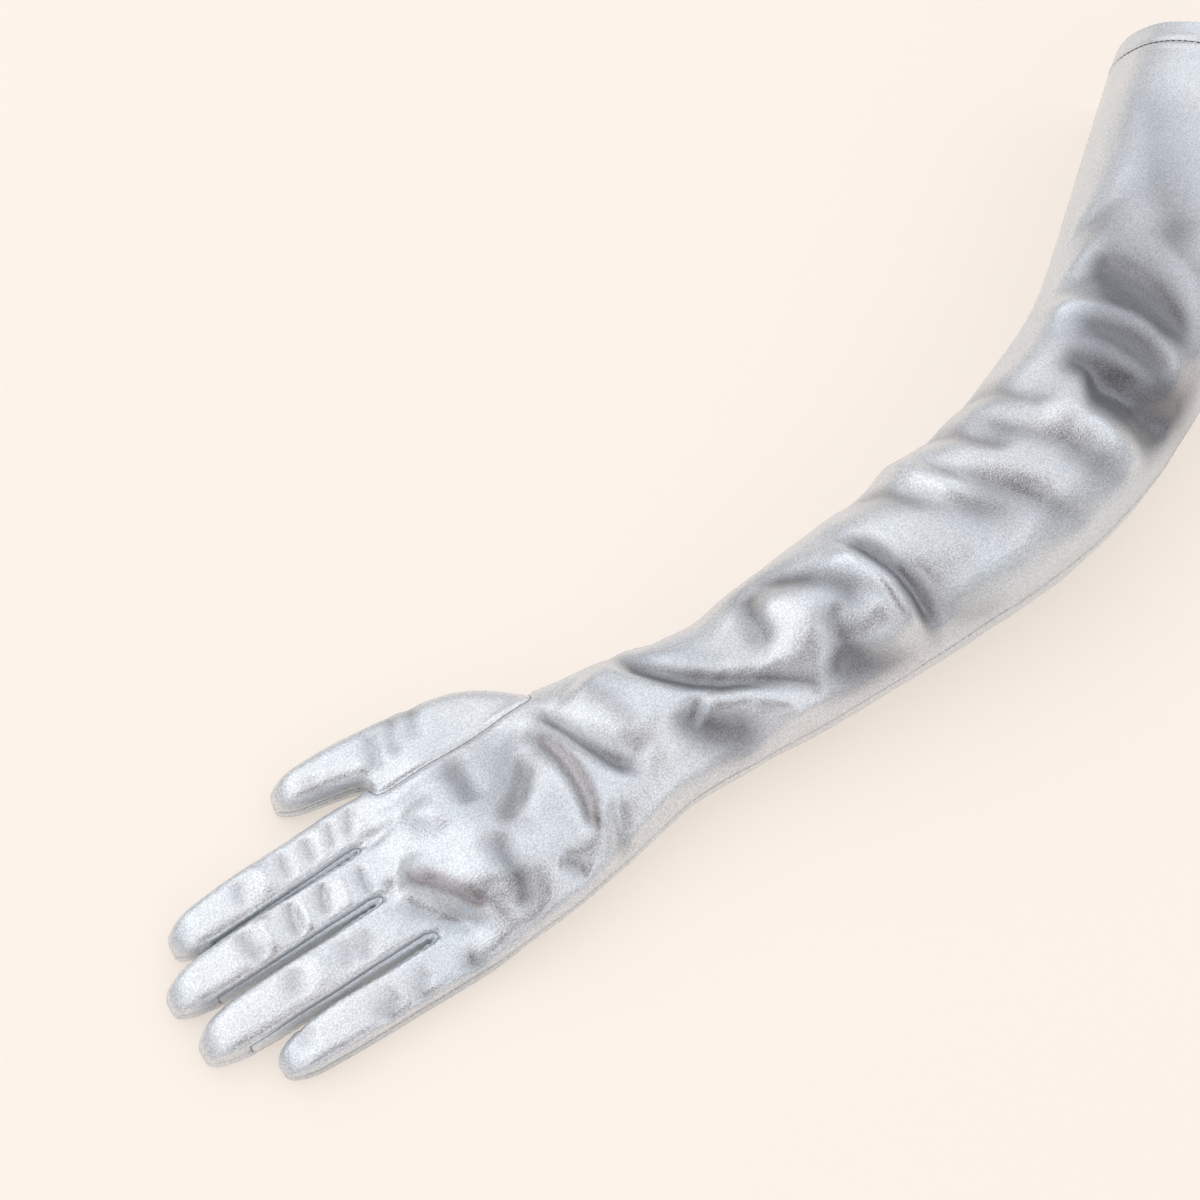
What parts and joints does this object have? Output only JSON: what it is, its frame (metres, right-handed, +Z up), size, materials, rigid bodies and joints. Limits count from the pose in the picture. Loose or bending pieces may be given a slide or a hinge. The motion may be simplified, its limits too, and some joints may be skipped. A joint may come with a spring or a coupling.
{
  "type": "long satin glove",
  "caption": "Long satin dress glove for the left hand, worn full and lying palm down, open and hollow from the stitched hem to the fingertips.",
  "frame": {"origin": "on the flat underside of the palm, where it rests on the surface", "axes": "+Z up from the surface, +X along the forearm from the fingers to the elbow, +Y towards the thumb's side"},
  "size_m": [0.5935, 0.207, 0.0754],
  "materials": {
    "satin": "satin",
    "satin_side": "satin"
  },
  "bodies": {
    "root": {"back_panel": "satin", "palm_panel": "satin", "thumb_back": "satin", "thumb_palm": "satin", "fourchette_ring_little": "satin_side", "fourchette_middle_ring": "satin_side", "fourchette_index_middle": "satin_side", "hem": "satin"}
  },
  "joints": []
}
